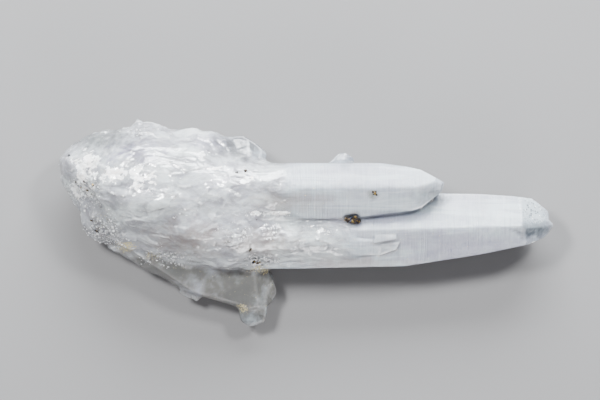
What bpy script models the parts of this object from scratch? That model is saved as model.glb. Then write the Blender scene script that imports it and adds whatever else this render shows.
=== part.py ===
"""Milky quartz: a hand specimen of long prismatic crystals that grew side by side from one root.

The root end is broken, and one grain of a brassy sulfide sits in the groove between the crystals.
The specimen lies on its back. +X runs along the crystals to their free tips, +Y runs across
them, and +Z points up from the surface that it lies on. The origin is on that surface, under the
middle of the specimen's box. Run it with blender --background --python part.py.
"""

import math

import bmesh
import bpy
from mathutils import Matrix, Vector, noise

MM = 0.001

# Quartz keeps its angles whatever its size: six sides 60 degrees apart, and end faces that lean
# 38.2 degrees off the sides below them
SIDE_COUNT = 6
SIDE_STEP = math.radians(60.0)
END_LEAN = math.radians(38.2)

# Corners this close to a cut lie on it
CUT_MERGE = 0.0001

# How far a block reaches past every cut before it is cut down to a crystal
BLOCK_REACH = 200.0

# Gap between the sulfide grain and the pocket that it sits in
POCKET_GAP = 0.3

# Broken surfaces: the size of a facet, then soft swells, then the flat shards that they broke into.
# The shards are longer one way, which turns a little off the crystals
FACET_SIZE = 1.5
SWELL_SIZE = 10.0
SWELL_HEIGHT = 1.0
SHARD_SIZE = 4.2
SHARD_TILT = 0.24
SHARD_STRETCH = 2.4
SHARD_TURN = math.radians(14.0)
SHARD_HEIGHT = 0.5

# Keeps the middles of neighbouring shards far apart in the noise that leans them
LEAN_SPREAD = 7.3

# Edges shorter than this are taken out where shapes meet
SHORTEST_EDGE = 0.004

MILKY = ("milky_quartz", (0.86, 0.87, 0.89, 1.0), 0.32)
BROKEN = ("broken_quartz", (0.80, 0.81, 0.82, 1.0), 0.55)
SULFIDE = ("brassy_sulfide", (0.42, 0.33, 0.16, 1.0), 0.35)


def clear_scene():
    for obj in list(bpy.data.objects):
        bpy.data.objects.remove(obj, do_unlink=True)


def new_collection(name):
    collection = bpy.data.collections.new(name)
    bpy.context.scene.collection.children.link(collection)
    return collection


def make_material(name, colour, roughness, metallic=0.0):
    material = bpy.data.materials.new(name)
    material.use_nodes = True
    shader = material.node_tree.nodes["Principled BSDF"]
    shader.inputs["Base Color"].default_value = colour
    shader.inputs["Roughness"].default_value = roughness
    shader.inputs["Metallic"].default_value = metallic
    return material


def add_object(name, bm, material, collection):
    """A new object from a bmesh in millimetres, with its faces pointing out."""
    bmesh.ops.recalc_face_normals(bm, faces=bm.faces[:])
    bmesh.ops.scale(bm, vec=(MM, MM, MM), verts=bm.verts[:])
    mesh = bpy.data.meshes.new(name)
    bm.to_mesh(mesh)
    bm.free()
    mesh.materials.append(material)
    obj = bpy.data.objects.new(name, mesh)
    collection.objects.link(obj)
    return obj


def add_helper(name, bm, material, collection):
    """A shape that only joins or cuts the others."""
    obj = add_object(name, bm, material, collection)
    obj.hide_render = True
    obj.display_type = "WIRE"
    return obj


def combine(base, others, operation):
    """Joins the others to the base, or cuts them out of it. Every shape here is closed."""
    for other in others:
        step = base.modifiers.new(operation.lower() + "_" + other.name, "BOOLEAN")
        step.operation = operation
        step.solver = "MANIFOLD"
        step.object = other
        step.material_mode = "TRANSFER"


def worked_in(obj):
    """Replaces the object's mesh by the one that its modifiers make."""
    bpy.context.view_layer.update()
    graph = bpy.context.evaluated_depsgraph_get()
    mesh = bpy.data.meshes.new_from_object(obj.evaluated_get(graph))
    obj.modifiers.clear()
    obj.data = mesh
    return obj


def cut_away(bm, point, normal):
    """Cuts a closed shape flat at a plane, and keeps the side that the normal points away from."""
    cut = bmesh.ops.bisect_plane(
        bm,
        geom=bm.verts[:] + bm.edges[:] + bm.faces[:],
        dist=CUT_MERGE,
        plane_co=point,
        plane_no=normal,
        clear_outer=True,
    )
    rim = [item for item in cut["geom_cut"] if isinstance(item, bmesh.types.BMEdge)]
    if rim:
        bmesh.ops.edgenet_fill(bm, edges=rim)


def hull_of(bm):
    """Wraps the shape's corners in the tightest closed shape round them."""
    bmesh.ops.delete(bm, geom=bm.edges[:], context="EDGES_FACES")
    hull = bmesh.ops.convex_hull(bm, input=bm.verts[:], use_existing_faces=False)
    inside = set(hull["geom_interior"] + hull["geom_unused"])
    spare = [vert for vert in bm.verts if vert in inside]
    bmesh.ops.delete(bm, geom=spare, context="VERTS")
    return bm


# Crystals. A side is numbered from 0 to 5, turning from straight up towards +Y: 0 is the upper face
# on the +Y side, 1 the +Y flank, 2 and 3 the underside, 4 the -Y flank, 5 the upper face on the -Y side


def side_normal(side, roll):
    angle = SIDE_STEP / 2 + side * SIDE_STEP + math.radians(roll)
    return Vector((0.0, math.sin(angle), math.cos(angle)))


def crystal(sides, reaches, length, tapers=(), breaks=(), roll=0.0):
    """A crystal along X with its tip near the origin.

    sides holds the six distances from the axis to the prism's faces. reaches says how far past the
    origin each end face meets the axis, or None where the crystal lacks that face. tapers are more
    faces (side, back, distance, lean in degrees), each through the point at that distance from the
    axis, that far back from the origin. breaks are broken ends (point, normal).
    """
    bm = bmesh.new()
    bmesh.ops.create_cube(bm, size=2 * BLOCK_REACH)
    along = Vector((1.0, 0.0, 0.0))
    cut_away(bm, -length * along, -along)
    for side, distance in enumerate(sides):
        outward = side_normal(side, roll)
        cut_away(bm, distance * outward, outward)
    for side, back, distance, lean in tapers:
        outward = side_normal(side, roll)
        angle = math.radians(lean)
        cut_away(bm, distance * outward - back * along, math.cos(angle) * outward + math.sin(angle) * along)
    for side, reach in enumerate(reaches):
        if reach is not None:
            outward = side_normal(side, roll)
            cut_away(bm, reach * along, math.cos(END_LEAN) * outward + math.sin(END_LEAN) * along)
    for point, normal in breaks:
        cut_away(bm, Vector(point), Vector(normal))
    return bm


def placed(bm, tip, yaw=0.0, pitch=0.0):
    """Puts a crystal's origin at this point, turned by degrees towards +Y and then towards +Z."""
    turn = Matrix.Rotation(math.radians(yaw), 4, "Z") @ Matrix.Rotation(math.radians(-pitch), 4, "Y")
    bmesh.ops.transform(bm, matrix=Matrix.Translation(tip) @ turn, verts=bm.verts[:])
    return bm


def main_crystal():
    """The long crystal at the back. Its ridge runs the whole way to the tip."""
    shape = crystal(
        sides=(7.4, 8.65, 7.6, 7.6, 9.3, 7.4),
        reaches=(0.5, 3.3, 1.6, 0.8, 1.0, 1.0),
        length=78.0,
        tapers=(
            (1, 28.5, 8.65, 2.3),
            (1, 18.5, 8.25, 4.9),
            (1, 10.5, 7.56, 8.4),
            (4, 37.5, 9.3, 7.6),
            (4, 18.5, 6.75, 10.6),
            (4, 6.5, 4.5, 21.8),
            (0, 30.0, 7.4, 1.0),
            (5, 30.0, 7.4, 1.6),
            (2, 30.0, 7.6, 3.0),
            (3, 36.0, 7.6, 4.0),
        ),
        breaks=(((-1.25, 3.0, 0.0), (1.0, 0.02, 0.15)),),
    )
    return placed(shape, (62.25, -0.45, 9.2), yaw=1.3)


def tip_step():
    """The last thin layer of growth on the main crystal, which runs past its chipped end."""
    shape = crystal(
        sides=(3.4, 2.1, 3.2, 3.0, 2.6, 3.3),
        reaches=(0.6, 0.55, 0.4, 0.3, 0.5, 0.45),
        length=6.0,
        breaks=(((-0.15, 0.0, 0.0), (0.96, 0.16, 0.1)),),
    )
    return placed(shape, (62.35, -0.5, 9.1), yaw=1.3)


def upper_crystal():
    """The shorter, broader crystal that lies over the main one. Many small faces round its end off."""
    shape = crystal(
        sides=(5.6, 6.1, 6.0, 6.0, 7.8, 5.6),
        reaches=(4.0, 2.2, 1.6, 1.4, 0.9, 3.2),
        length=70.0,
        tapers=(
            (1, 15.5, 6.1, 8.2),
            (1, 9.2, 5.2, 13.0),
            (1, 5.7, 4.4, 28.0),
            (4, 24.0, 7.8, 7.2),
            (4, 7.7, 5.7, 18.0),
            (4, 3.0, 4.5, 36.0),
            (4, 1.75, 3.3, 57.0),
            (0, 14.0, 5.6, 3.5),
            (5, 15.0, 5.6, 4.0),
            (5, 5.0, 4.4, 20.0),
            (2, 20.0, 6.0, 5.0),
            (3, 20.0, 6.0, 5.0),
        ),
        breaks=(((-0.6, -1.4, 0.0), (0.94, -0.3, 0.15)),),
    )
    return placed(shape, (34.3, 9.0, 15.9))


def lower_crystal():
    """The small crystal low on the front, which sinks into the main one towards its tip."""
    shape = crystal(
        sides=(4.5, 4.9, 5.0, 5.0, 4.3, 4.4),
        reaches=(1.0, 2.4, 1.0, 1.0, 1.2, 0.2),
        length=46.0,
        tapers=((4, 16.0, 4.3, 6.0), (1, 14.0, 4.9, 11.0), (4, 3.6, 3.0, 26.0), (5, 9.0, 4.4, 5.0)),
    )
    return placed(shape, (23.4, -4.6, 11.1), yaw=-1.4, pitch=-5.0)


def rear_crystal():
    """A crystal at the back, under the upper one and out of sight from the front."""
    shape = crystal(
        sides=(5.4, 4.9, 5.2, 5.4, 5.6, 5.0),
        reaches=(0.4, 2.0, 0.6, 0.2, 1.0, 0.8),
        length=50.0,
        tapers=((1, 20.0, 4.9, 4.0), (2, 18.0, 5.2, 5.0)),
    )
    return placed(shape, (24.5, 9.4, 6.8), yaw=1.5, pitch=1.0)


def side_crystal():
    """The little clear crystal that looks over the top of the upper one."""
    shape = crystal(
        sides=(2.2, 2.1, 2.3, 2.2, 2.6, 2.3),
        reaches=(0.5, 0.2, 0.8, 0.6, 1.4, 0.5),
        length=9.0,
        breaks=(((-0.5, 0.0, 0.0), (0.97, 0.2, 0.0)), ((-4.2, 2.1, 0.0), (-0.62, 0.78, 0.0))),
    )
    return placed(shape, (12.8, 15.8, 11.2), yaw=6.0, pitch=4.0)


def stub_crystal():
    """The clear stub beside the upper crystal, broken off short."""
    shape = crystal(
        sides=(4.6, 5.0, 4.8, 4.8, 5.4, 4.9),
        reaches=(0.6, 0.0, 1.2, 0.6, 6.0, 4.0),
        length=26.0,
        breaks=(((-3.6, 3.2, 0.0), (0.77, 0.63, 0.1)), ((-1.0, 0.0, 0.0), (0.9, -0.1, 0.42))),
    )
    return placed(shape, (-8.5, 17.6, 10.8), yaw=5.0, pitch=2.0)


def hanging_crystal():
    """The broken crystal under the root, which points away from the others."""
    shape = crystal(
        sides=(6.4, 6.6, 4.9, 5.0, 6.3, 3.3),
        reaches=(None, None, None, None, None, None),
        length=38.0,
        roll=20.0,
        tapers=((1, 12.0, 6.6, 6.0), (4, 14.0, 6.3, -15.0)),
        breaks=(
            ((1.0, 0.0, 3.0), (0.72, 0.22, 0.66)),
            ((5.2, 0.0, 0.0), (0.95, 0.29, 0.1)),
            ((4.6, 3.4, 0.0), (0.76, 0.64, 0.0)),
            ((2.6, -5.0, 0.0), (0.5, -0.86, 0.0)),
        ),
    )
    return placed(shape, (-12.9, -15.5, 5.9), yaw=-17.0, pitch=-3.0)


CRYSTALS = (
    main_crystal,
    tip_step,
    upper_crystal,
    lower_crystal,
    rear_crystal,
    side_crystal,
    stub_crystal,
    hanging_crystal,
)


# The root, where the crystals started, is broken all round. It is lumps that run into one another


def lump(*rings):
    """The tightest closed shape round these corners, which are given ring by ring."""
    bm = bmesh.new()
    for ring in rings:
        for corner in ring:
            bm.verts.new(corner)
    return hull_of(bm)


def root_core():
    """The thick middle of the root, which carries every crystal and has the flat that it lies on."""
    return lump(
        (
            (-50, 9, 21.5), (-40, 14.5, 24.0), (-24, 13, 24.0),
            (-12, 9.5, 21.5), (-19, 0, 21.5), (-40, 2, 21.5),
        ),
        ((-52, 20, 12), (-44, 22.0, 13), (-34, 22, 15), (-25, 20.6, 15.5), (-16, 17.6, 15), (-6, 14, 14)),
        ((-52, -2.6, 11), (-44, -4.6, 12), (-27, -8.2, 13), (-14, -9.4, 12.5), (-3, -8.6, 12)),
        ((-59, 13, 11), (-57, 8, 11), (-54, 1, 10.5)),
        (
            (-46, 11, -1.5), (-40, 13, -1.5), (-18, 12, -1.5), (-4, 8, -1.5),
            (-3, 0, -1.5), (-22, -4.5, -1.5), (-43, 1, -1.5),
        ),
    )


def root_end():
    """The blunt broken end, with grains of sulfide in it."""
    return lump(
        ((-63.4, 15.6, 10), (-62.2, 17.9, 10), (-58.2, 20.9, 10), (-54.6, 21.8, 10.5), (-50, 23.6, 11)),
        ((-61.8, 10.8, 10), (-59.8, 7, 9.5), (-57.2, 4.0, 9), (-60.6, 14, 14)),
        ((-55, 15, 18.5), (-50, 18, 18.5), (-54, 9.5, 18.0), (-44, 12, 22.5)),
        ((-57, 14, 4), (-52, 18, 3), (-55, 8, 4), (-46, 12, 3)),
    )


def root_shoulder():
    """The step below the broken end."""
    return lump(
        (
            (-56.6, 4.1, 9), (-56.6, -0.4, 9), (-55.2, -3.9, 8.5),
            (-52, -4.2, 9), (-50.2, -5.0, 9), (-46, -5.8, 9),
        ),
        ((-53, 2, 16.5), (-49, -1.0, 16), (-47, 6, 21), (-40, 0, 19.5)),
        ((-53, 2, 2.5), (-50, -1.5, 2.5), (-44, 2, 2)),
    )


def horn_ridge():
    """The clear ridge along the top of the root."""
    return lump(
        (
            (-50, 24.0, 11), (-45, 25.7, 12), (-42.4, 26.0, 12.5),
            (-38.9, 26.1, 14), (-34.6, 25.2, 13.5), (-32.0, 23.4, 12),
        ),
        ((-49, 17, 20), (-40, 20.4, 20.8), (-34, 19.6, 20.2), (-46, 13, 22), (-34, 13, 23)),
        ((-46, 18, 5), (-40, 20, 6), (-33, 18, 5)),
    )


def back_ridge():
    """The long low rim between the horn and the stub."""
    return lump(
        ((-34, 23.2, 12.5), (-29, 24.0, 13.5), (-25.6, 23.8, 13), (-22, 22.6, 13), (-18.8, 21.8, 12.5)),
        ((-34, 18.5, 20.5), (-25, 18, 20.6), (-17, 16.6, 17.0), (-34, 13, 23), (-20, 12, 21.5)),
        ((-32, 18, 4), (-24, 18, 3), (-18, 16, 4)),
    )


def fan():
    """The fan of splintered white quartz across the front of the root."""
    return lump(
        ((-54, 10, 19.5), (-47, 15.0, 22.0), (-36, 17.0, 23.4), (-26, 16.0, 22.8), (-16, 13.4, 20.4)),
        (
            (-51, 4, 19.6), (-40, 3.4, 23.0), (-38, 8, 25.0),
            (-28, 5.0, 25.0), (-14.6, 8.8, 23.2), (-19, 3.6, 21.8),
        ),
        ((-48, 10, 12), (-30, 12, 14), (-18, 10, 15)),
    )


def belly():
    """The smooth swell below the fan, which overhangs the hanging crystal."""
    return lump(
        (
            (-48, -5.4, 12), (-39, -6.6, 13), (-29, -7.8, 13.5),
            (-25, -8.8, 13.5), (-21, -10.8, 13.5), (-16.6, -12.2, 13),
        ),
        ((-12.6, -12.7, 12.5), (-9.0, -11.6, 12), (-2, -9.0, 12.5)),
        ((-46, 1, 19.6), (-34, 4.5, 23.0), (-26, -2.0, 23.0), (-17, -3.0, 21.8), (-8, -3.8, 19.4)),
        ((-38, -4, 18.8), (-24, -7, 19.4), (-15, -8.4, 18.2), (-6, -8, 15.6)),
        ((-40, -2, 7), (-20, -6, 6), (-8, -6, 6)),
    )


def keel():
    """The wedge that joins the hanging crystal to the root."""
    return lump(
        (
            (-50.4, -5.8, 7), (-48.2, -7.0, 7), (-45.4, -8.0, 7),
            (-40.6, -12.2, 6), (-35.6, -15.2, 5.5), (-30.6, -18.4, 5),
        ),
        ((-29, -12, 9.5), (-40, -6, 10.5), (-47, -4.5, 10), (-18, -9, 10)),
        ((-44, -4, 2), (-32, -13, 1.6), (-28, -15, 1.6), (-20, -8, 1)),
    )


LUMPS = (root_end, root_shoulder, horn_ridge, back_ridge, fan, belly, keel)


# Sharp chips, left where pieces broke off the root and off the hanging crystal


def horn():
    """The small horn that sticks out of the ridge."""
    return lump(
        ((-43.4, 24.4, 12), (-41.9, 26.5, 13.2), (-40.9, 26.3, 13.6), (-39.6, 24.6, 13)),
        ((-43.0, 21, 16.5), (-40, 21, 17.4), (-41.5, 21, 8)),
    )


def splinter():
    """The bright splinter that stands out of the fan."""
    return lump(
        ((-36, 4.2, 23.4), (-34.4, 4.0, 24.8), (-31.2, 7.2, 26.2), (-31.0, 8.4, 26.0), (-34.0, 7.2, 25.6)),
        ((-36, 5, 18), (-30, 8, 18), (-32, 4.0, 19)),
    )


def toe():
    """The thin shard past the belly, where the lower crystal leaves the root."""
    return lump(
        (
            (-10, -11.2, 9), (-6.5, -11.0, 9.5), (-4.3, -11.5, 9),
            (-3.0, -10.6, 9.5), (0, -10.2, 9), (3.2, -10.6, 8),
        ),
        ((-6, -6, 13.5), (3, -6.5, 12)),
        ((-6, -5, 4), (2, -5.5, 5), (-8, -8, 5)),
    )


def flake():
    """The thin flake on the hanging crystal's edge."""
    return lump(
        ((-32, -17.6, 5.5), (-27.2, -20.1, 5), (-25.6, -18.7, 5.5), (-24, -16, 7), (-31, -14, 7)),
        ((-28, -16.6, 2.4), (-25.4, -16.4, 2.4)),
    )


def lowest_plate():
    """The plate at the lowest corner, which broke across the hanging crystal."""
    return lump(
        (
            (-16.8, -21.4, 6), (-16.5, -24.8, 6), (-14.9, -25.4, 6.4),
            (-14.0, -26.5, 6), (-9.8, -25.2, 6), (-9.5, -21.6, 6.6),
        ),
        ((-16, -19.6, 8.0), (-10, -19.4, 7.8), (-8.4, -15, 7)),
        ((-15.5, -23.6, 3.4), (-10.5, -23.6, 3), (-9.5, -17.6, 2.2), (-15, -18.6, 2)),
    )


def torn_edge():
    """The ragged end of the hanging crystal."""
    return lump(
        (
            (-8.9, -12, 7), (-7.3, -14.4, 6.4), (-7.8, -15.1, 6.2),
            (-6.5, -17.4, 5.4), (-7.8, -19.4, 5), (-9.6, -21, 5),
        ),
        ((-12, -12, 8.4), (-11, -18, 7.2), (-12, -12, 3), (-11, -19, 2.4)),
    )


CHIPS = (horn, splinter, toe, flake, lowest_plate, torn_edge)


def swell(point):
    """Height of the soft swells in the broken surface."""
    return SWELL_HEIGHT * noise.fractal(point / SWELL_SIZE, 1.0, 2.0, 3)


def shards(point):
    """Height of the shards in the broken surface. Each is flat, and leans its own way."""
    turned = Matrix.Rotation(-SHARD_TURN, 3, "Z") @ point
    stretched = Vector((turned.x / SHARD_STRETCH, turned.y, turned.z)) / SHARD_SIZE
    centre = noise.voronoi(stretched)[1][0]
    lean = (noise.cell_vector(LEAN_SPREAD * centre) - Vector((0.5, 0.5, 0.5))).normalized()
    height = SHARD_TILT * SHARD_SIZE * (stretched - centre).dot(lean)
    return max(-SHARD_HEIGHT, min(SHARD_HEIGHT, height))


def tidy(bm):
    """Takes out edges too short to see, and leaves nothing but triangles."""
    bmesh.ops.dissolve_degenerate(bm, edges=bm.edges[:], dist=SHORTEST_EDGE)
    bmesh.ops.triangulate(bm, faces=bm.faces[:])


def in_millimetres(obj):
    bm = bmesh.new()
    bm.from_mesh(obj.data)
    bmesh.ops.scale(bm, vec=(1 / MM, 1 / MM, 1 / MM), verts=bm.verts[:])
    return bm


def write_back(bm, obj):
    bmesh.ops.scale(bm, vec=(MM, MM, MM), verts=bm.verts[:])
    bm.to_mesh(obj.data)
    bm.free()
    obj.data.update()


def melt_together(obj):
    """Runs the joined lumps into one skin of even facets, with no sharp crease between them."""
    skin = obj.modifiers.new("even_facets", "REMESH")
    skin.mode = "VOXEL"
    skin.voxel_size = FACET_SIZE * MM
    return worked_in(obj)


def roughen(obj, height_at):
    """Moves the skin in or out by the height that this gives at each point of it."""
    bm = in_millimetres(obj)
    bm.normal_update()
    moves = [height_at(vert.co) * vert.normal for vert in bm.verts]
    for vert, move in zip(bm.verts, moves):
        vert.co += move
    write_back(bm, obj)


# The sulfide grain


def sulfide_shape(gap=0.0):
    """Small blocky crystals stuck together. gap moves every face out."""
    blocks = (
        ((10.8, 1.2, 17.6), (1.1, 0.4, 0.7), 4.0),
        ((12.3, 1.0, 17.8), (0.8, 0.8, 0.9), 24.0),
        ((13.2, 0.4, 17.4), (0.5, 0.6, 0.8), 50.0),
    )
    bm = bmesh.new()
    for centre, half, turn in blocks:
        size = [2 * (part + gap) for part in half]
        matrix = (
            Matrix.Translation(centre)
            @ Matrix.Rotation(math.radians(turn), 4, "Z")
            @ Matrix.Rotation(math.radians(turn / 2), 4, "X")
            @ Matrix.Diagonal((*size, 1.0))
        )
        bmesh.ops.create_cube(bm, size=1.0, matrix=matrix)
    return hull_of(bm)


def ground_block():
    """Everything below the surface that the specimen lies on. It leaves the root with one worn flat."""
    bm = bmesh.new()
    bmesh.ops.create_cube(bm, size=BLOCK_REACH)
    bmesh.ops.translate(bm, vec=(0.0, 0.0, -BLOCK_REACH / 2), verts=bm.verts[:])
    return bm


def set_down(objects):
    """Moves the pieces so that the origin is on the resting surface, under the middle of their box."""
    points = [vert.co for obj in objects for vert in obj.data.vertices]
    low = Vector([min(point[axis] for point in points) for axis in range(3)])
    high = Vector([max(point[axis] for point in points) for axis in range(3)])
    middle = (low + high) / 2
    shift = Vector((-middle.x, -middle.y, -low.z))
    for obj in objects:
        obj.data.transform(Matrix.Translation(shift))


clear_scene()
specimen = new_collection("quartz_specimen")
helpers = new_collection("growth_shapes")
milky = make_material(*MILKY)
broken = make_material(*BROKEN)
brassy = make_material(*SULFIDE, metallic=0.9)

cluster = add_object("quartz_cluster", root_core(), broken, specimen)
lumps = [add_helper(make.__name__, make(), broken, helpers) for make in LUMPS]
combine(cluster, lumps, "UNION")
melt_together(cluster)
roughen(cluster, swell)
melt_together(cluster)
roughen(cluster, shards)

chips = [add_helper(make.__name__, make(), broken, helpers) for make in CHIPS]
crystals = [add_helper(make.__name__, make(), milky, helpers) for make in CRYSTALS]
combine(cluster, chips + crystals, "UNION")
pocket = add_helper("sulfide_pocket", sulfide_shape(POCKET_GAP), broken, helpers)
ground = add_helper("ground_cut", ground_block(), broken, helpers)
combine(cluster, [pocket, ground], "DIFFERENCE")
worked_in(cluster)

whole = in_millimetres(cluster)
tidy(whole)
write_back(whole, cluster)

grain = add_object("sulfide_grain", sulfide_shape(), brassy, specimen)
set_down([cluster, grain])
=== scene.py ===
"""A milky quartz specimen, lying on its back: long crystals side by side, broken off at the root."""

import math
import random

import bmesh
import bpy
import numpy
from mathutils import Euler, Matrix, Vector, noise
from mathutils.bvhtree import BVHTree
from mathutils.kdtree import KDTree


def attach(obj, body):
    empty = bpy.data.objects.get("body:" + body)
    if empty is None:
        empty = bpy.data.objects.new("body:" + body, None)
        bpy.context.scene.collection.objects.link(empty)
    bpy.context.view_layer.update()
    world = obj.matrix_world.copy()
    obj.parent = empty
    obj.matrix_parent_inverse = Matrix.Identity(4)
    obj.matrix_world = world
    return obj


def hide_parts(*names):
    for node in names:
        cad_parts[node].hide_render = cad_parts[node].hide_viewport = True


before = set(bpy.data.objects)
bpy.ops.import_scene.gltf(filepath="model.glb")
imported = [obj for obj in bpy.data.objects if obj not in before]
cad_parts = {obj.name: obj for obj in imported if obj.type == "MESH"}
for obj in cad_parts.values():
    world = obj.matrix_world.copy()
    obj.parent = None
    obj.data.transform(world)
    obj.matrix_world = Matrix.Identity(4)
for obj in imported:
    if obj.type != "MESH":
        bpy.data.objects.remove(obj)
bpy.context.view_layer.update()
MM = 0.001

# The quartz, one solid piece. It grew as long six-sided crystals from one root, full of tiny fluid
# bubbles that make it milky, and clearer towards the tips, where it grew more slowly. The root broke
# off its rock, so its skin is splintery. The crystals' own faces are smooth, with fine growth lines.
SKIN_SIZE = 0.38

# Corners this close together, in metres, are one corner
SAME_POINT = 1e-7

# A crystal's own face is a flat of at least this many square millimetres that doesn't face the floor
FLAT_AREA = 5.0
FLAT_ANGLE = math.radians(0.4)
LOWEST_LEAN = -0.999

# Soft-edged patches on the stone: the middle, the reach each way, and how strong. A last number is
# the height that the patch stays under
DEEP = 12.0
HANGING_TOP = 11.5
MASKS = {
    "clear": (
        ((56.6, -1.5, 8.0), (5.2, 2.2, DEEP), 0.85),
        ((31.0, 6.8, 12.0), (4.5, 2.2, DEEP), 0.45),
        ((-15.5, 20.0, 12.0), (6.5, 4.0, DEEP), 0.45),
        ((9.5, 17.6, 10.0), (4.5, 3.5, DEEP), 0.4),
        ((-16.0, -20.5, 5.0), (9.0, 9.5, DEEP), 0.3),
        ((-40.0, -13.0, 5.0), (14.0, 4.0, DEEP), 0.3),
        ((-50.0, 21.0, 9.0), (12.0, 3.5, DEEP), 0.4),
    ),
    "crushed": (
        ((-31.8, 6.2, 14.0), (1.8, 1.5, DEEP), 1.0),
        ((-26.0, 17.2, 12.0), (4.8, 1.1, DEEP), 1.0),
        ((-21.5, 13.7, 14.0), (4.4, 0.8, DEEP), 1.0),
        ((-42.0, 11.0, 12.0), (12.0, 4.8, DEEP), 1.3),
        ((-14.2, 10.9, 14.0), (3.4, 1.3, DEEP), 1.0),
        ((-10.0, 2.6, 16.0), (10.0, 0.7, DEEP), 1.0),
        ((-54.0, 12.0, 10.0), (5.0, 7.0, DEEP), 1.1),
        ((2.5, -2.0, 13.0), (8.0, 2.4, DEEP), 0.55),
        ((-12.0, -9.6, 13.0), (3.0, 1.2, DEEP), 0.7),
        ((57.0, -4.5, 8.0), (3.6, 0.6, DEEP), 0.8),
    ),
    "warm": (
        ((-28.5, -3.0, 12.0), (9.5, 4.8, DEEP), 1.0),
        ((-3.0, 5.5, 16.0), (9.0, 2.8, DEEP), 0.5),
        ((-12.0, -4.6, 12.0), (9.0, 3.6, DEEP), 0.8),
        ((10.0, -9.8, 8.0), (14.0, 1.6, DEEP), 0.6),
    ),
    # Lilac: painted shade on the main crystal's underside, a painted shadow where the upper crystal shades
    # it, and painted shade in the crease on the root. The other two patches are lilac streaks of the stone.
    "lilac_and_shade": (
        ((40.0, -5.0, 8.0), (22.0, 5.0, DEEP), 1.0),
        ((-42.0, 17.6, 12.0), (9.0, 3.6, DEEP), 0.6),
        ((-22.0, 20.0, 12.0), (9.0, 2.2, DEEP), 0.9),
        ((20.0, 1.2, 12.0), (14.0, 2.0, DEEP), 0.8),
        ((-28.0, 1.0, 14.0), (6.0, 2.0, DEEP), 0.5),
    ),
    "fibre": (
        ((-42.5, 17.5, 12.0), (8.5, 4.4, DEEP), 1.0),
        ((-24.0, 11.0, 14.0), (12.0, 5.0, DEEP), 0.5),
        ((-26.0, -1.0, 14.0), (8.0, 4.0, DEEP), 0.5),
    ),
    # Grey: on the hanging crystal under the root's lip it is painted shade over its clearer quartz, kept
    # below the lip's height. The other patches are the grey of clearer quartz.
    "grey": (
        ((-16.0, -17.0, 5.0), (15.0, 10.0, DEEP), 1.1, HANGING_TOP),
        ((-36.0, -12.0, 5.0), (14.0, 7.0, DEEP), 1.1, HANGING_TOP),
        ((-50.0, 21.5, 9.0), (10.0, 2.6, DEEP), 0.6),
        ((-50.0, -2.5, 9.0), (6.0, 4.0, DEEP), 0.35),
        ((-15.5, 20.0, 12.0), (6.0, 3.4, DEEP), 0.7),
    ),
    "stain": (
        ((-44.8, -5.6, 8.0), (3.2, 1.6, DEEP), 1.0),
        ((-38.0, -7.8, 8.0), (4.0, 1.0, DEEP), 0.7),
        ((-15.9, -21.4, 5.0), (1.5, 1.8, DEEP), 1.0),
        ((-11.5, -11.3, 8.0), (3.0, 1.4, DEEP), 0.9),
        ((-51.0, 2.0, 8.0), (3.0, 3.0, DEEP), 0.35),
    ),
    # Painted shadow: dark greenish-grey halos round the sulfide specks.
    "speck_shadow": (
        ((16.4, 7.2, 15.0), (1.5, 1.2, DEEP), 1.0),
        ((-53.5, 9.5, 9.0), (2.4, 3.0, DEEP), 0.45),
        ((-11.8, -9.6, 12.0), (2.0, 1.4, DEEP), 0.5),
    ),
    "frost": (
        ((56.4, 3.2, 8.0), (3.2, 3.8, DEEP), 1.0),
    ),
    "sugar": (
        ((-40.0, 8.6, 13.0), (5.0, 1.5, DEEP), 0.4),
        ((-29.2, 2.8, 15.0), (3.0, 2.0, DEEP), 0.45),
        ((-17.5, -2.4, 15.0), (4.8, 3.0, DEEP), 0.4),
        ((-8.6, -1.8, 16.0), (3.4, 2.2, DEEP), 0.4),
        ((-10.0, 2.4, 16.0), (10.0, 0.5, DEEP), 0.8),
        ((-35.0, -8.6, 8.0), (6.0, 2.0, DEEP), 1.0),
        ((-54.0, 9.5, 9.0), (5.0, 6.0, DEEP), 0.8),
        ((-49.0, -1.5, 9.0), (5.0, 4.5, DEEP), 0.8),
        ((-42.0, 22.6, 9.0), (4.0, 1.8, DEEP), 0.5),
        ((-11.0, -9.2, 14.0), (4.5, 1.6, DEEP), 0.8),
    ),
    # Painted highlights along the lower edges of two crystal tips and on the edges of two small crystals.
    "edge_highlight": (
        ((31.0, 4.4, 15.0), (9.5, 2.6, 6.0), 1.0),
        ((19.5, -7.2, 11.0), (5.0, 2.0, 6.0), 1.0),
        ((-15.0, 19.5, 12.0), (6.0, 4.0, 8.0), 0.6),
        ((9.5, 17.0, 10.0), (4.0, 3.0, 8.0), 0.6),
    ),
}


def merged_copy(obj):
    """A bmesh copy of a piece, with its loose triangles joined, in millimetres."""
    bm = bmesh.new()
    bm.from_mesh(obj.data)
    bmesh.ops.remove_doubles(bm, verts=bm.verts[:], dist=SAME_POINT)
    bmesh.ops.scale(bm, vec=(1 / MM, 1 / MM, 1 / MM), verts=bm.verts[:])
    bm.normal_update()
    return bm


def grown_faces(bm):
    """Which faces lie in a wide flat: those are the crystals' own, and the others are broken."""
    grown = [False] * len(bm.faces)
    seen = set()
    for seed in bm.faces:
        if seed in seen:
            continue
        flat = [seed]
        seen.add(seed)
        for face in flat:
            for edge in face.edges:
                for other in edge.link_faces:
                    if other not in seen and other.normal.angle(seed.normal, math.pi) < FLAT_ANGLE:
                        seen.add(other)
                        flat.append(other)
        if sum(face.calc_area() for face in flat) > FLAT_AREA and seed.normal.z > LOWEST_LEAN:
            for face in flat:
                grown[face.index] = True
    return grown


def new_object(name, bm, material):
    """Make an object of a finished bmesh in millimetres, riding on the stone."""
    bmesh.ops.scale(bm, vec=(MM, MM, MM), verts=bm.verts[:])
    mesh = bpy.data.meshes.new(name)
    bm.to_mesh(mesh)
    bm.free()
    mesh.materials.append(material)
    mesh.shade_smooth()
    obj = bpy.data.objects.new(name, mesh)
    bpy.context.scene.collection.objects.link(obj)
    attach(obj, "root")
    return obj


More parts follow.
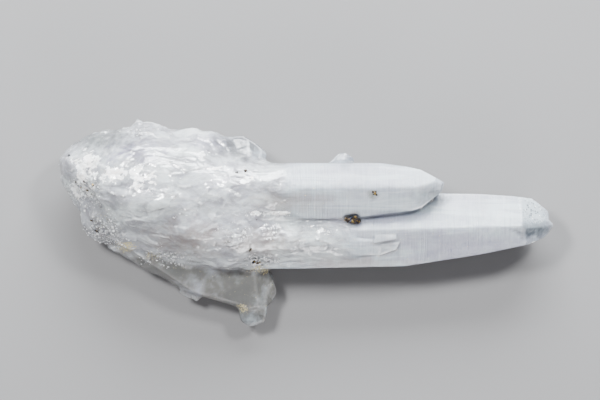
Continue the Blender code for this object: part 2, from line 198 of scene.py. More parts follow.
def voxel_skin(bm, size):
    """The same shape in small even faces, with its sharp edges a little worn."""
    mesh = bpy.data.meshes.new("skin_form")
    bm.to_mesh(mesh)
    obj = bpy.data.objects.new("skin_form", mesh)
    bpy.context.scene.collection.objects.link(obj)
    remesh = obj.modifiers.new("skin", "REMESH")
    remesh.mode = "VOXEL"
    remesh.voxel_size = size
    remesh.adaptivity = 0.0
    graph = bpy.context.evaluated_depsgraph_get()
    skin = bmesh.new()
    skin.from_mesh(obj.evaluated_get(graph).to_mesh())
    bpy.data.objects.remove(obj)
    bpy.data.meshes.remove(mesh)
    return skin


# A patch is full in its middle, and falls off with the distance and with the wandering noise
FULL_SPOT = 1.6
SPOT_FALL = 1.2
WANDER = 0.5


def spot_weight(spots, point, wander):
    """How far a point is inside soft-edged, wandering patches, from 0 to 1."""
    best = 0.0
    for centre, reach, strength, *top in spots:
        off = Vector([(point[axis] - centre[axis]) / reach[axis] for axis in range(3)])
        weight = strength * min(1.0, max(0.0, FULL_SPOT - SPOT_FALL * off.length + WANDER * wander))
        if top:
            weight *= min(1.0, max(0.0, top[0] - point.z))
        best = max(best, weight)
    return best


# Two thin glassy plates end the low front crystal: corners across the stone, and height over it
HIGH_UP = 60.0
DOWN = Vector((0.0, 0.0, -1.0))
PLATE_ROOT = 1.5
PLATES = (
    ((17.25, -2.8, 0.15), (22.1, -2.5, 0.15), (22.6, -3.8, 1.15), (16.6, -4.9, 0.80)),
    ((18.4, -5.2, 0.10), (23.3, -4.6, 0.15), (22.5, -6.4, 1.25), (17.9, -8.0, 0.80)),
)


def add_plate(bm, stone, corners):
    """A thin plate that stands a little out of the stone."""
    points = []
    for x, y, height in corners:
        top = stone.ray_cast(Vector((x, y, HIGH_UP)), DOWN)[0]
        points += [top + Vector((0.0, 0.0, height)), top - Vector((0.0, 0.0, PLATE_ROOT))]
    bmesh.ops.convex_hull(bm, input=[bm.verts.new(point) for point in points])


form = merged_copy(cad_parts["quartz_cluster"])
grown = grown_faces(form)
bare = BVHTree.FromBMesh(form)
for corners in PLATES:
    add_plate(form, bare, corners)
form.normal_update()
form.faces.index_update()
form.verts.index_update()
grown += [True] * (len(form.faces) - len(grown))
tree = BVHTree.FromBMesh(form)
skin = voxel_skin(form, SKIN_SIZE)
skin.normal_update()


def ease(value, low, high):
    """0 at low, 1 at high, and smooth between."""
    part = min(1.0, max(0.0, (value - low) / (high - low)))
    return part * part * (3.0 - 2.0 * part)


# How far each place is softened: the broken skin, more where it faces up, the low front crystal
# where it sinks into the main one, and the upper crystal a little. KEPT holds the sharp chips back
TORN_MELT = 0.04
TORN_MELT_UP = 0.22
FRONT_MELT = 0.8
UPPER_MELT = 0.09
UP_FROM, UP_FULL = 0.2, 0.7
KEPT = 0.9

# The lowest stretch of the stone, where it rests on its flat, stays as it is
REST_BAND = 0.2
REST_FADE = 1.5


def melt_weight(point, broken, facing_up):
    """How far the shape is softened here: most where the crystals come out of the root.

    Each part of the stone fades in between two places, given in millimetres.
    """
    past_root = ease(point.x, -34.0, -22.0)
    on_top = ease(point.z, 9.0, 12.0)
    torn = broken * (TORN_MELT + TORN_MELT_UP * ease(facing_up, UP_FROM, UP_FULL))
    meeting = ease(-point.x, 0.0, 10.0) * past_root
    front = ease(-point.x, -14.0, -8.0) * ease(-point.y, -1.4, 0.2) * ease(point.y, -10.5, -8.5)
    front *= on_top * ease(-point.x, -16.5, -13.0)
    upper = UPPER_MELT * ease(point.y, 1.5, 3.0) * ease(-point.x, -27.0, -20.0) * on_top
    hanging = ease(-point.y, 9.5, 11.5)
    stub = ease(point.y, 15.5, 17.0) * ease(point.x, -27.0, -24.0)
    ridge = ease(point.y, 20.0, 22.0)
    weight = max(torn, meeting, FRONT_MELT * front * past_root, upper)
    weight *= 1.0 - KEPT * max(hanging, stub, ridge)
    return weight * ease(point.z, floor_z + REST_BAND, floor_z + REST_FADE)


# The broken skin. Splinters and chips are flat cells, each leaning its own way, so many of them to a
# millimetre. The splinters are long, and follow a slow bend of the stone's grain
BEND_SCALE = 0.08
BEND_REACH = 3.0
SPLINTERS_ALONG = 0.16
SPLINTERS_ACROSS = 0.50
SPLINTER_HEIGHT = 0.24
CHIP_SCALE = 0.9
CHIP_HEIGHT = 0.7
GRAIN_ALONG = 0.5
GRAIN_ACROSS = 1.6
GRAIN_HEIGHT = 0.04
SUNK = 0.08

# These set the parts of the bend, and the middles of neighbouring cells, apart in the noise
BEND_APART = (Vector((0.0, 0.0, 0.0)), Vector((31.7, 0.0, 0.0)), Vector((0.0, 47.3, 0.0)))
SPLINTER_APART = 7.3
CHIP_APART = 5.1


def leaning(cell, apart):
    """The way that a cell's flat leans."""
    return 2.0 * noise.cell_vector(cell * apart) - Vector((1.0, 1.0, 1.0))


def broken_relief(point, rough):
    """Height of the broken skin: long flat splinters, and small chips where it is rough."""
    bend = BEND_REACH * Vector([noise.noise(point * BEND_SCALE + apart) for apart in BEND_APART])
    long_way = Vector((
        (point.x + bend.x) * SPLINTERS_ALONG,
        (point.y + bend.y) * SPLINTERS_ACROSS,
        (point.z + bend.z) * SPLINTERS_ACROSS,
    ))
    splinter = noise.voronoi(long_way)[1][0]
    splinters = SPLINTER_HEIGHT * leaning(splinter, SPLINTER_APART).dot(long_way - splinter)
    close_up = point * CHIP_SCALE
    chip = noise.voronoi(close_up)[1][0]
    chips = CHIP_HEIGHT * rough * leaning(chip, CHIP_APART).dot(close_up - chip)
    grain_at = Vector((point.x * GRAIN_ALONG, point.y * GRAIN_ACROSS, point.z * GRAIN_ACROSS))
    grain = noise.fractal(grain_at, 0.8, 2.0, 4)
    return splinters + chips + GRAIN_HEIGHT * grain - SUNK


# Sharp outer edges between a crystal's own faces, and how close together points are set along them
EDGE_ANGLE = math.radians(18.0)
EDGE_STEP = 0.15


def edge_points(bm, flags):
    """Points along the sharp outer edges between the crystals' own faces."""
    points = []
    for edge in bm.edges:
        if len(edge.link_faces) != 2 or not all(flags[face.index] for face in edge.link_faces):
            continue
        if edge.is_convex and edge.calc_face_angle(0.0) > EDGE_ANGLE:
            ends = [vert.co for vert in edge.verts]
            count = max(2, int(edge.calc_length() / EDGE_STEP))
            points += [ends[0].lerp(ends[1], step / count) for step in range(count + 1)]
    return points


def neighbours_of(bm):
    """Every pair of neighbouring points, both ways round, and how many neighbours each point has."""
    ends = numpy.array([[vert.index for vert in edge.verts] for edge in bm.edges])
    here, there = numpy.concatenate((ends, ends[:, ::-1])).T
    return here, there, numpy.bincount(here, minlength=len(bm.verts))


def around(values, pairs):
    """The mean of each point's neighbours."""
    here, there, count = pairs
    return numpy.bincount(here, values[there], minlength=len(values)) / count


def spread(values, pairs, passes):
    """Evens a value out over the skin, so that it changes slowly from place to place."""
    values = numpy.array(values)
    for turn in range(passes):
        values = (values + around(values, pairs)) / 2
    return values


def bends(bm, pairs):
    """How far each point stands out of its neighbours: above 0 on a ridge, below 0 in a hollow."""
    bm.normal_update()
    points = numpy.array([vert.co for vert in bm.verts])
    normals = numpy.array([vert.normal for vert in bm.verts])
    out = sum((points[:, axis] - around(points[:, axis], pairs)) * normals[:, axis] for axis in range(3))
    return spread(out, pairs, 2)


# The skin is laid on the solid, and each point of it is told where it lies: on a crystal's own face,
# on a worn edge, where the stone is thin, or close to its rim. All of these run from 0 to 1. The
# distances through the stone and from an edge are taken below zero, so that near is the high end
JUST_INSIDE = 0.05
THIN_FROM, THIN_FULL = -7.0, -1.0
RIM_FROM, RIM_FULL = -2.4, -0.2
CHIPPED_EDGE = 0.32
CHIPPED_MORE = 0.22
CHIPPED_SCALE = 1.3
FADE_OUTSIDE, FADE_INSIDE = 0.25, 0.1
floor_z = min(vert.co.z for vert in form.verts)
pairs = neighbours_of(skin)
FOUND = ("grown", "worn", "thin", "rim", "ridge", "hollow")
masks = {key: skin.verts.layers.float.new(key) for key in (*FOUND, *MASKS)}
sharp = edge_points(form, grown)
near = KDTree(len(sharp))
for index, point in enumerate(sharp):
    near.insert(point, index)
near.balance()
weights = []
for vert in skin.verts:
    spot, normal, index = tree.find_nearest(vert.co)[:3]
    vert.co = spot
    broken = 0.0 if grown[index] else 1.0
    vert[masks["grown"]] = 1.0 - broken
    weights.append(melt_weight(spot, broken, normal.z))
    across = tree.ray_cast(spot - JUST_INSIDE * normal, -normal)[3]
    vert[masks["thin"]] = ease(-across, THIN_FROM, THIN_FULL) if across else 0.0
    vert[masks["rim"]] = ease(-across, RIM_FROM, RIM_FULL) if across else 0.0
    chipped = CHIPPED_EDGE + CHIPPED_MORE * noise.noise(spot * CHIPPED_SCALE)
    vert[masks["worn"]] = ease(-near.find(spot)[2], -chipped - FADE_OUTSIDE, -chipped + FADE_INSIDE)

# The softening. A point with half the weight is smoothed in half as many passes
MELT_PASSES = 220
LEAST_MELT = 0.004
skin.verts.ensure_lookup_table()
order = sorted((weight, index) for index, weight in enumerate(weights) if weight > LEAST_MELT)
start = 0
for turn in range(MELT_PASSES):
    while start < len(order) and order[start][0] * MELT_PASSES < turn:
        start += 1
    soft = [skin.verts[index] for weight, index in order[start:]]
    bmesh.ops.smooth_vert(skin, verts=soft, factor=0.5, use_axis_x=True, use_axis_y=True, use_axis_z=True)
skin.normal_update()

# The crystals' faces pass slowly into the broken skin, and then come the patches and the relief
SPREAD_PASSES = 200
MELTED_FROM, MELTED_FULL = 0.25, 0.8
WANDER_SCALE = 0.35
SMOOTH_RELIEF = 0.08
SUGARY_RELIEF = 0.75
smooth = [vert[masks["grown"]] * (1.0 - ease(weights[vert.index], MELTED_FROM, MELTED_FULL))
          for vert in skin.verts]
smooth = spread(smooth, pairs, SPREAD_PASSES)
for vert in skin.verts:
    vert[masks["grown"]] = smooth[vert.index]
    wander = noise.fractal(vert.co * WANDER_SCALE, 0.6, 2.0, 4)
    for key, spots in MASKS.items():
        vert[masks[key]] = spot_weight(spots, vert.co, wander)
heights = []
for vert in skin.verts:
    height = broken_relief(vert.co, SMOOTH_RELIEF + SUGARY_RELIEF * vert[masks["sugar"]])
    heights.append(height * (1.0 - vert[masks["grown"]]))
for vert, height in zip(skin.verts, heights):
    if vert.co.z > floor_z + REST_BAND:
        vert.co += vert.normal * height
        vert.co.z = max(vert.co.z, floor_z)

# A ridge or a hollow of the skin starts at the first of these heights, and is full at the second
BEND_FROM = 0.006
BEND_FULL = 0.045
for vert, bend in zip(skin.verts, bends(skin, pairs)):
    vert[masks["ridge"]] = ease(bend, BEND_FROM, BEND_FULL)
    vert[masks["hollow"]] = ease(-bend, BEND_FROM, BEND_FULL)


class Look:
    """A new node material, with short words for the nodes that it is made of."""

    def __init__(self, name):
        self.material = bpy.data.materials.new(name)
        self.material.use_nodes = True
        self.tree = self.material.node_tree
        self.tree.nodes.clear()
        self.place = self.add("TexCoord").outputs["Object"]

    def add(self, kind, **settings):
        node = self.tree.nodes.new("ShaderNode" + kind)
        for key, value in settings.items():
            setattr(node, key, value)
        return node

    def put(self, socket, value):
        if isinstance(value, bpy.types.NodeSocket):
            self.tree.links.new(value, socket)
        else:
            socket.default_value = value

    def layer(self, name):
        return self.add("Attribute", attribute_name=name).outputs["Fac"]

    def vector(self, operation, a, b):
        node = self.add("VectorMath", operation=operation)
        self.put(node.inputs[0], a)
        self.put(node.inputs[1], b)
        return node.outputs["Value" if operation == "DOT_PRODUCT" else "Vector"]

    def across(self, x, y, z):
        """Places for a pattern, with this many of its steps to a millimetre each way."""
        return self.vector("MULTIPLY", self.place, (x / MM, y / MM, z / MM))

    def turned(self, angle, x, y, z):
        """The same as across, with the pattern turned about +Z."""
        turn = self.add("VectorRotate", rotation_type="Z_AXIS")
        self.put(turn.inputs["Vector"], self.place)
        self.put(turn.inputs["Angle"], -angle)
        return self.vector("MULTIPLY", turn.outputs[0], (x / MM, y / MM, z / MM))

    def noise(self, x, y, z, detail, rough, bend=0.0, angle=0.0):
        node = self.add("TexNoise")
        spots = self.turned(angle, x, y, z) if angle else self.across(x, y, z)
        for key, value in (("Vector", spots), ("Scale", 1.0), ("Detail", detail),
                           ("Roughness", rough), ("Distortion", bend)):
            self.put(node.inputs[key], value)
        return node.outputs["Fac"]

    def facets(self, x, y, z):
        """Small flat facets, each leaning its own way."""
        spots = self.across(x, y, z)
        cells = self.add("TexVoronoi", feature="F1")
        self.put(cells.inputs["Vector"], spots)
        self.put(cells.inputs["Scale"], 1.0)
        lean = self.vector("SUBTRACT", cells.outputs["Color"], (0.5, 0.5, 0.5))
        return self.vector("DOT_PRODUCT", self.vector("SUBTRACT", spots, cells.outputs["Position"]), lean)

    def dots(self, x, y, z, size):
        """Small round dots, 1 in the middle."""
        cells = self.add("TexVoronoi", feature="F1")
        self.put(cells.inputs["Vector"], self.across(x, y, z))
        self.put(cells.inputs["Scale"], 1.0)
        return self.ramp(cells.outputs["Distance"], size * 0.5, size, 1.0, 0.0)

    def ramp(self, value, low, high, to_low=0.0, to_high=1.0):
        node = self.add("MapRange", interpolation_type="SMOOTHSTEP")
        for index, number in enumerate((value, low, high, to_low, to_high)):
            self.put(node.inputs[index], number)
        return node.outputs["Result"]

    def maths(self, operation, a, b=0.0):
        node = self.add("Math", operation=operation)
        self.put(node.inputs[0], a)
        self.put(node.inputs[1], b)
        return node.outputs[0]

    def times(self, *values):
        total = values[0]
        for value in values[1:]:
            total = self.maths("MULTIPLY", total, value)
        return total

    def plus(self, *values):
        total = values[0]
        for value in values[1:]:
            total = self.maths("ADD", total, value)
        return total

    def less(self, value):
        return self.maths("SUBTRACT", 1.0, value)

    def held(self, value, low=0.0, high=1.0):
        node = self.add("Clamp")
        self.put(node.inputs["Value"], value)
        self.put(node.inputs["Min"], low)
        self.put(node.inputs["Max"], high)
        return node.outputs[0]

    def mixed(self, share, a, b):
        node = self.add("Mix", data_type="RGBA")
        self.put(node.inputs["Factor"], share)
        self.put(node.inputs[6], a)
        self.put(node.inputs[7], b)
        return node.outputs[2]

    def blended(self, share, a, b):
        node = self.add("Mix", data_type="FLOAT")
        self.put(node.inputs["Factor"], share)
        self.put(node.inputs[2], a)
        self.put(node.inputs[3], b)
        return node.outputs[0]

    def finish(self, relief, distance, strength, **sockets):
        bump = self.add("Bump")
        self.put(bump.inputs["Strength"], strength)
        self.put(bump.inputs["Distance"], distance)
        self.put(bump.inputs["Height"], relief)
        surface = self.add("BsdfPrincipled")
        self.put(surface.inputs["Normal"], bump.outputs[0])
        for key, value in sockets.items():
            self.put(surface.inputs[key.replace("_", " ")], value)
        self.put(self.add("OutputMaterial").inputs["Surface"], surface.outputs[0])
        return self.material


# The quartz's colours. Milk and root each run from dense to thin, and every tone after them is laid on where
# it is found, this much of it. Some of the tones are painted shade and painted highlights, marked where they
# stand
DENSE_MILK = (0.40, 0.46, 0.495, 1)
THIN_MILK = (0.30, 0.335, 0.38, 1)
DENSE_ROOT = (0.62, 0.67, 0.68, 1)
THIN_ROOT = (0.36, 0.375, 0.40, 1)
PIT_SHADE = (0.10, 0.13, 0.15, 1)
# White of chipped quartz, also used for painted highlights on edges and painted glints
CHIP_WHITE_AND_HIGHLIGHT = (0.97, 0.98, 0.99, 1)
TONES = {
    "band": (0.24, (0.62, 0.72, 0.80, 1)),
    "streak": (0.5, (0.58, 0.66, 0.71, 1)),
    "crack": (0.35, (0.96, 0.97, 0.98, 1)),
    "fibre": (0.9, (0.25, 0.235, 0.33, 1)),
    "cloud": (0.45, (0.31, 0.30, 0.36, 1)),
    # Lilac, mostly painted shade on faces and in a crease that turn away from the light, with some lilac
    # streaks of the stone
    "lilac_and_shade": (0.65, (0.255, 0.25, 0.345, 1)),
    "warm": (0.85, (0.30, 0.255, 0.235, 1)),
    # Grey, painted shade on the hanging crystal, and the grey of clear quartz elsewhere
    "grey": (0.92, (0.190, 0.183, 0.168, 1)),
    # Painted shadow round the sulfide specks
    "speck_shadow": (0.8, (0.14, 0.165, 0.145, 1)),
    "crush": (0.95, (0.98, 0.99, 0.99, 1)),
    "stain": (0.8, (0.76, 0.66, 0.34, 1)),
    "clear": (0.85, (0.11, 0.14, 0.17, 1)),
    "frost": (0.6, (0.52, 0.60, 0.64, 1)),
    # Painted light: lighter near the stone's thin rims
    "rim": (0.35, (0.94, 0.97, 0.99, 1)),
    "ridge": (0.5, (0.96, 0.98, 0.99, 1)),
    # Painted shade in the skin's hollows
    "hollow": (0.4, (0.26, 0.27, 0.30, 1)),
}

# How the quartz takes the light: how far its bubbles spread it under the surface, how the broken
# skin glistens, and how deep the finest relief is
QUARTZ_IOR = 1.54
SPREAD_IN_ROOT = 2.0 * MM
SPREAD_IN_CRYSTAL = 4.5 * MM
SPREAD_TINT = (1.1, 1.0, 0.95)
GLISTEN = 0.95
GLISTEN_ROUGHNESS = 0.05
RELIEF_DEPTH = 0.35 * MM
RELIEF_STRENGTH = 0.9


def quartz_patterns(look):
    """The layers that the skin carries, and the patterns inside the stone, each from 0 to 1."""
    seen = {key: look.layer(key) for key in (*FOUND, *MASKS)}
    border = look.times(look.plus(look.noise(0.12, 0.30, 0.30, 4.0, 0.6), -0.5), 0.9)
    seen["faces"] = look.ramp(look.plus(seen["grown"], border), 0.15, 0.85)
    seen["broken"] = look.less(seen["faces"])

    # Veils of bubbles along the crystals, streaks, and healed cracks as thin lines
    seen["veil"] = look.ramp(look.noise(0.07, 0.26, 0.26, 5.0, 0.55, 0.5), 0.34, 0.68)
    seen["flow"] = look.ramp(look.noise(0.13, 0.22, 0.22, 6.0, 0.55, 0.8, math.radians(-8.0)), 0.36, 0.66)
    seen["fibres"] = look.ramp(look.noise(0.10, 1.1, 1.1, 4.0, 0.6, 0.35, math.radians(27.0)), 0.40, 0.60)
    seen["cloud"] = look.ramp(look.noise(0.05, 0.08, 0.08, 3.0, 0.5, 0.4), 0.35, 0.65)
    seen["streak"] = look.ramp(look.noise(0.035, 0.45, 0.45, 6.0, 0.62, 0.6), 0.48, 0.62)
    healed = look.noise(0.14, 0.24, 0.24, 5.0, 0.6, 1.2, math.radians(-10.0))
    seen["crack"] = look.ramp(look.maths("ABSOLUTE", look.plus(healed, -0.5)), 0.0, 0.010, 1.0, 0.0)

    # Growth lines across the crystals, feathery crushed stone, stains, the frosted end with its painted
    # glints, and the edges' white wear and painted highlights
    seen["lines"] = look.noise(2.4, 0.07, 0.07, 4.0, 0.7, 0.1)
    seen["band"] = look.ramp(seen["lines"], 0.35, 0.65)
    seen["fine"] = look.noise(2.2, 2.2, 2.2, 3.0, 0.7)
    shred = look.noise(0.34, 0.7, 0.7, 7.0, 0.68, 0.5, math.radians(12.0))
    torn = look.times(look.plus(shred, -0.5), 2.0)
    seen["crush"] = look.ramp(look.plus(seen["crushed"], torn), 0.62, 0.72)
    speckle = look.times(look.plus(seen["fine"], -0.5), 4.5)
    seen["stained"] = look.ramp(look.plus(seen["stain"], speckle), 0.75, 0.95)
    seen["pit"] = look.times(look.dots(1.25, 1.25, 1.25, 0.40), seen["frost"])
    # Painted glints: small white dots on the frosted end
    seen["glint"] = look.times(look.dots(0.95, 0.95, 0.95, 0.26), seen["frost"])
    # Edge whitening: a little white wear on every sharp edge, and much more as painted highlight where the
    # edge highlight patches lie
    whiter = look.plus(look.times(seen["edge_highlight"], 0.8), 0.06)
    seen["edge"] = look.times(seen["worn"], look.less(seen["clear"]), whiter)
    return seen


def quartz_colour(look, seen):
    """Milky crystals and a whiter root, with every tone laid over them in turn, painted shade and highlights
    among them.
    """
    def toned(colour, name, *where):
        share, tone = TONES[name]
        return look.mixed(look.times(*where, share), colour, tone)

    milk = look.mixed(seen["veil"], DENSE_MILK, THIN_MILK)
    milk = toned(milk, "band", seen["band"])
    milk = toned(milk, "streak", seen["streak"])
    root = look.mixed(seen["flow"], DENSE_ROOT, THIN_ROOT)
    root = toned(root, "crack", seen["crack"])
    root = toned(root, "fibre", seen["fibre"], seen["fibres"])
    colour = look.mixed(seen["faces"], root, milk)
    # Among these, the lilac is mostly painted shade, the grey is painted shade on the hanging crystal, and
    # the dark halos round the sulfide specks are painted shadow
    for name in ("cloud", "lilac_and_shade", "warm", "grey", "speck_shadow", "crush"):
        colour = toned(colour, name, seen[name])
    colour = toned(colour, "stain", seen["stained"])
    colour = toned(colour, "clear", seen["clear"])
    colour = toned(colour, "frost", seen["frost"])
    colour = look.mixed(seen["pit"], colour, PIT_SHADE)
    # Painted glints on the frosted end
    colour = look.mixed(seen["glint"], colour, CHIP_WHITE_AND_HIGHLIGHT)
    # Painted light: lighter near the thin rims, less where the stone is clear
    colour = toned(colour, "rim", seen["rim"], look.less(look.times(seen["clear"], 0.6)))
    colour = toned(colour, "ridge", seen["ridge"], seen["broken"], look.less(seen["grey"]))
    # Painted shade in the hollows of the skin
    colour = toned(colour, "hollow", seen["hollow"])
    # White wear and painted highlights along the sharp edges
    return look.mixed(seen["edge"], colour, CHIP_WHITE_AND_HIGHLIGHT)


def quartz_relief(look, seen):
    """Growth lines across the crystals, grain along the broken skin, and sugary facets."""
    dimples = look.times(look.noise(0.9, 0.9, 0.9, 5.0, 0.7), 0.12)
    swells = look.times(look.noise(0.16, 0.22, 0.22, 2.0, 0.5), 1.6)
    growth = look.plus(look.times(seen["lines"], 0.7), dimples, swells)
    growth = look.times(growth, look.less(look.times(seen["clear"], 0.8)))
    along = look.times(look.noise(0.30, 0.9, 0.9, 5.0, 0.6, 0.8), 0.35)
    grain = look.plus(along, look.times(look.facets(0.24, 0.5, 0.5), 0.9))
    sugary = look.plus(look.times(seen["sugar"], 3.2), look.times(seen["crush"], 1.2), 0.25)
    crumbs = look.times(look.facets(1.0, 1.35, 1.35), sugary)
    crumbs = look.times(crumbs, seen["broken"])
    frosting = look.times(look.plus(seen["fine"], look.times(seen["pit"], -0.9)), seen["frost"], 0.8)
    return look.plus(look.blended(seen["faces"], grain, growth), crumbs, frosting)


def quartz_look():
    """Milky quartz, partly see-through, and glassier where it is clear."""
    look = Look("milky_quartz")
    seen = quartz_patterns(look)

    # Light goes through the clear and the thin places, and not through crushed or frosted ones, nor through
    # the chipped edges and their painted highlights
    through = look.plus(look.times(seen["clear"], 0.55), 0.18, look.times(seen["thin"], 0.25),
                        look.times(seen["flow"], seen["broken"], 0.2))
    through = look.times(through, look.less(seen["crush"]), look.less(seen["edge"]),
                         look.less(look.times(seen["frost"], 0.7)))
    gloss = look.plus(look.ramp(seen["fine"], 0.3, 0.7, 0.12, 0.26), look.times(seen["frost"], 0.25),
                      look.times(seen["sugar"], -0.10), look.times(seen["clear"], -0.10))
    return look.finish(
        quartz_relief(look, seen), RELIEF_DEPTH, RELIEF_STRENGTH, Base_Color=quartz_colour(look, seen),
        Roughness=look.held(gloss, 0.04, 0.7), Transmission_Weight=look.held(through),
        Coat_Weight=look.times(seen["broken"], GLISTEN), Coat_Roughness=GLISTEN_ROUGHNESS, IOR=QUARTZ_IOR,
        Subsurface_Weight=1.0, Subsurface_Radius=SPREAD_TINT,
        Subsurface_Scale=look.blended(seen["faces"], SPREAD_IN_ROOT, SPREAD_IN_CRYSTAL))


# Points of the sugary skin that face up, with how rough it is there, kept for the chips that follow
SUGARY_FROM = 0.15
skin.normal_update()
sparkly = [(vert.co.copy(), vert.normal.copy(), vert[masks["sugar"]] * (1.0 - vert[masks["grown"]]))
           for vert in skin.verts if vert[masks["sugar"]] > SUGARY_FROM and vert.normal.z > 0.0]
quartz = new_object("quartz_skin", skin, quartz_look())
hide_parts("quartz_cluster")

# The crushed skin of the root. Where the stone tore, it is covered with tiny glassy chips of itself,
# still grown on, which sparkle.
CHIP_COUNT = 1100
CHIP_LEAST = 0.20
CHIP_MORE = 0.42
CHIP_FLAT = 0.5
CHIP_SUNK = 0.18
CHIP_LEAN = 0.9
ANY_TURN = 6.3
BLOCK_CORNERS = 8
WHITE_CHIP = (0.90, 0.92, 0.93, 1)
DARK_CHIP = (0.38, 0.40, 0.41, 1)


def chip_look():
    """Chips of glassy quartz, some white and some dark and clearer."""
    look = Look("glassy_chips")
    cloud = look.ramp(look.noise(1.1, 1.1, 1.1, 3.0, 0.7), 0.42, 0.60)
    relief = look.noise(3.0, 3.0, 3.0, 2.0, 0.5)
    return look.finish(
        relief, 0.03 * MM, 0.5, Base_Color=look.mixed(cloud, WHITE_CHIP, DARK_CHIP),
        Roughness=look.ramp(cloud, 0.0, 1.0, 0.05, 0.12),
        Transmission_Weight=look.ramp(cloud, 0.0, 1.0, 0.0, 0.3), IOR=QUARTZ_IOR,
        Subsurface_Weight=1.0, Subsurface_Radius=(1.0, 1.0, 1.0), Subsurface_Scale=0.5 * MM)


def add_block(bm, place, size, turn):
    """One small blocky piece."""
    made = bmesh.ops.create_cube(bm, size=1.0)
    shape = Matrix.LocRotScale(place, turn, size)
    bmesh.ops.transform(bm, matrix=shape, verts=made["verts"])


# A chip lies as the skin does, leaning a little, with its foot in the stone. The rougher the skin is,
# the more of them it carries
draw = random.Random(11)
chips = bmesh.new()
while len(chips.verts) < BLOCK_CORNERS * CHIP_COUNT:
    place, normal, weight = sparkly[draw.randrange(len(sparkly))]
    if draw.random() < weight:
        size = CHIP_LEAST + CHIP_MORE * draw.random() ** 2
        lean = Euler((
            CHIP_LEAN * draw.random() - CHIP_LEAN / 2,
            CHIP_LEAN * draw.random() - CHIP_LEAN / 2,
            ANY_TURN * draw.random(),
        ))
        turn = normal.to_track_quat("Z", "Y") @ lean.to_quaternion()
        stretch = Vector((1.0, CHIP_FLAT + (1.0 - CHIP_FLAT) * draw.random(), CHIP_FLAT))
        add_block(chips, place - CHIP_SUNK * size * normal, size * stretch, turn)
chip_piece = new_object("glassy_chips", chips, chip_look())
chip_piece.data.shade_flat()

# The sulfide, one brassy grain in the groove and a few crumbs of it scattered on the quartz. It grew
# after the quartz as tiny blocky crystals, and tarnished dark, with gold and a little blue.
BLOCK_COUNT = 46
BLOCK_LEAST = 0.34
BLOCK_MORE = 0.50
BLOCK_THIN_END = 0.3
BLOCK_LONG = 1.3
BLOCK_INSIDE = 0.30
BLOCK_TURNS = (0.2, 0.9)
BLOCK_TURN_MORE = 0.2
GRAIN_SKIN_SIZE = 0.075

# The grain's blocks keep to a wedge: its middle across the grain, and its reach at the thin end and
# gained towards the other. All are shares of the grain's own width
WEDGE_MIDDLE = 0.56
WEDGE_START = 0.08
WEDGE_GAIN = 0.26

# Each crumb is three small blocks, spread this many of its sizes. Its spot across the quartz comes
# first, and its size last
CRUMB_SPREAD = (2.2, 1.6)
CRUMB_BLOCK = 1.8
CRUMB_LEAST = 0.6
CRUMB_MORE = 0.6
CRUMB_TURN = 6.0
CRUMB_WORN = 0.03
CRUMB_SPOTS = (
    (16.9, 7.75, 0.34), (17.3, 7.2, 0.20), (16.6, 7.3, 0.16),
    (-13.7, -6.4, 0.34), (-13.0, -9.4, 0.36), (-11.8, -9.7, 0.30), (-12.5, -8.6, 0.18), (-10.9, -10.2, 0.20),
    (-57.0, 10.4, 0.26), (-55.2, 10.6, 0.34), (-52.6, 9.7, 0.32), (-54.3, 8.3, 0.26), (-53.2, 7.4, 0.20),
    (-51.5, 8.9, 0.18), (-55.9, 9.0, 0.20), (-53.3, 0.9, 0.26), (-52.2, -1.9, 0.28), (-59.0, 16.9, 0.26),
    (-17.2, 12.6, 0.26), (-15.1, 13.0, 0.28), (-50.8, 4.2, 0.16), (-12.2, 1.0, 0.14),
)

TARNISH = (0.025, 0.024, 0.028, 1)
GOLD = (0.52, 0.36, 0.11, 1)
BROWN = (0.16, 0.10, 0.05, 1)
BLUE = (0.05, 0.08, 0.17, 1)


def sulfide_look():
    """A dark metal with patches of gold, and a little brown and blue."""
    look = Look("tarnished_sulfide")
    bright = look.ramp(look.noise(1.2, 1.2, 1.2, 4.0, 0.6, 0.5), 0.54, 0.60)
    bluish = look.ramp(look.noise(1.3, 1.3, 1.3, 2.0, 0.5), 0.60, 0.68)
    fine = look.noise(6.0, 6.0, 6.0, 3.0, 0.6)
    colour = look.mixed(bright, TARNISH, GOLD)
    colour = look.mixed(look.ramp(fine, 0.5, 0.75), colour, BROWN)
    colour = look.mixed(look.times(bluish, 0.8), colour, BLUE)
    gloss = look.ramp(fine, 0.3, 0.7, 0.22, 0.48)
    relief = look.plus(look.times(look.noise(1.0, 9.0, 1.0, 2.0, 0.5), 0.6), fine)
    return look.finish(relief, 0.05 * MM, 0.6, Base_Color=colour, Roughness=gloss, Metallic=1.0)


sulfide = sulfide_look()
grain_form = merged_copy(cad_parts["sulfide_grain"])
inside = BVHTree.FromBMesh(grain_form)
low = Vector([min(vert.co[axis] for vert in grain_form.verts) for axis in range(3)])
high = Vector([max(vert.co[axis] for vert in grain_form.verts) for axis in range(3)])
draw = random.Random(5)
blocks = bmesh.new()
while len(blocks.verts) < BLOCK_CORNERS * BLOCK_COUNT:
    share = Vector((draw.random(), draw.random(), draw.random()))
    point = Vector([low[axis] + share[axis] * (high[axis] - low[axis]) for axis in range(3)])
    spot, normal = inside.find_nearest(point)[:2]
    side = BLOCK_LEAST + BLOCK_MORE * draw.random() * (BLOCK_THIN_END + share.x)
    turn = Euler([draw.choice(BLOCK_TURNS) + BLOCK_TURN_MORE * draw.random() for axis in range(3)])
    in_wedge = abs(share.y - WEDGE_MIDDLE) < WEDGE_START + WEDGE_GAIN * share.x
    if in_wedge and (point - spot).dot(normal) < -BLOCK_INSIDE * side:
        add_block(blocks, point, Vector((side * BLOCK_LONG, side, side)), turn)
grain_form.free()
grain = voxel_skin(blocks, GRAIN_SKIN_SIZE)
blocks.free()
grain_piece = new_object("sulfide_crystals", grain, sulfide)
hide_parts("sulfide_grain")

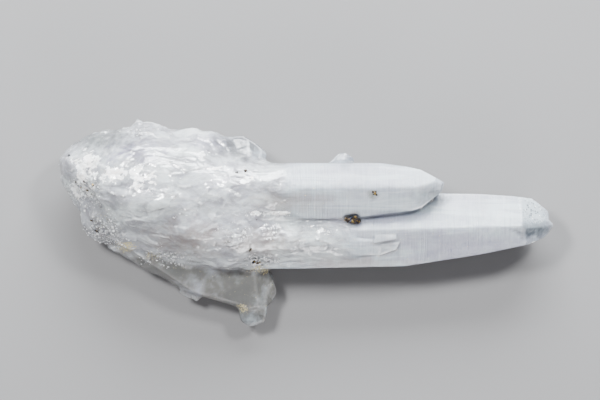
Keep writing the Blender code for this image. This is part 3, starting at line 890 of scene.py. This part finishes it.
skin_form = merged_copy(quartz)
skin_tree = BVHTree.FromBMesh(skin_form)
crumbs = bmesh.new()
for x, y, size in CRUMB_SPOTS:
    spot = skin_tree.ray_cast(Vector((x, y, HIGH_UP)), DOWN)[0]
    for part in range(3):
        shift = Vector([reach * size * (draw.random() - 0.5) for reach in CRUMB_SPREAD] + [0.0])
        turn = Euler([CRUMB_TURN * draw.random() for axis in range(3)])
        side = CRUMB_BLOCK * size * (CRUMB_LEAST + CRUMB_MORE * draw.random())
        add_block(crumbs, spot + shift, Vector((side, side * 0.8, side * 0.7)), turn)
skin_form.free()
bmesh.ops.bevel(crumbs, geom=crumbs.edges[:], offset=CRUMB_WORN, offset_type="OFFSET", segments=1,
                profile=0.5, affect="EDGES", material=-1)
crumb_piece = new_object("sulfide_crumbs", crumbs, sulfide)
crumb_piece.data.shade_flat()

# The floor, a wide sheet of pale matt paper under the stone, with its far edge out of sight. It is
# grey enough that the milky stone stands out.
FLOOR_REACH = 3.0
PALE_GREY = (0.165, 0.165, 0.168, 1)
sheet = bmesh.new()
bmesh.ops.create_grid(sheet, x_segments=1, y_segments=1, size=FLOOR_REACH)
floor_mesh = bpy.data.meshes.new("floor")
sheet.to_mesh(floor_mesh)
sheet.free()
paper = Look("pale_paper")
paper_grain = paper.noise(0.4, 0.4, 0.4, 3.0, 0.6)
floor_mesh.materials.append(paper.finish(paper_grain, 0.05 * MM, 0.2, Base_Color=PALE_GREY, Roughness=0.6))
floor = bpy.data.objects.new("floor", floor_mesh)
bpy.context.scene.collection.objects.link(floor)

# The camera, high above the stone and looking straight down, with the picture's top towards +Y. The
# picture's width is the one at the height where most of the outline lies.
PICTURE_WIDTH = 150.0
PICTURE_CENTRE = (-1.5, 5.9)
CAMERA_HEIGHT = 900.0
OUTLINE_HEIGHT = 10.0
FILM_WIDTH = 36.0
camera_data = bpy.data.cameras.new("camera")
camera_data.sensor_width = FILM_WIDTH
camera_data.lens = FILM_WIDTH * (CAMERA_HEIGHT - OUTLINE_HEIGHT) / PICTURE_WIDTH
camera_data.clip_start = 0.01
camera = bpy.data.objects.new("camera", camera_data)
camera.location = (PICTURE_CENTRE[0] * MM, PICTURE_CENTRE[1] * MM, CAMERA_HEIGHT * MM)
bpy.context.scene.collection.objects.link(camera)
bpy.context.scene.camera = camera

# The lights, a large soft one from the top of the picture, a weaker one from below, and a pale room.
# Two small ones bring out the sparkle of the broken skin.
STONE_MIDDLE = Vector((0, 0, 0.01))
ROOM_COLOUR = (0.80, 0.82, 0.86, 1)
ROOM_LIGHT = 0.27


def soft_light(name, place, size, watts, colour):
    """An area light that faces the stone."""
    data = bpy.data.lights.new(name, "AREA")
    data.shape = "RECTANGLE"
    data.size = size[0]
    data.size_y = size[1]
    data.energy = watts
    data.color = colour
    light = bpy.data.objects.new(name, data)
    light.location = place
    light.rotation_euler = (STONE_MIDDLE - Vector(place)).to_track_quat("-Z", "Y").to_euler()
    bpy.context.scene.collection.objects.link(light)


soft_light("key_light", (0.05, 0.50, 0.30), (0.50, 0.22), 16.0, (0.95, 0.98, 1.0))
soft_light("low_light", (0.20, -0.50, 0.25), (0.40, 0.15), 3.2, (1.0, 0.97, 0.98))
soft_light("left_spark", (-0.28, 0.22, 0.55), (0.12, 0.12), 7.0, (1.0, 1.0, 1.0))
soft_light("right_spark", (0.30, 0.30, 0.50), (0.10, 0.10), 4.6, (1.0, 1.0, 1.0))
world = bpy.data.worlds.new("room")
world.use_nodes = True
world.node_tree.nodes["Background"].inputs["Color"].default_value = ROOM_COLOUR
world.node_tree.nodes["Background"].inputs["Strength"].default_value = ROOM_LIGHT
bpy.context.scene.world = world
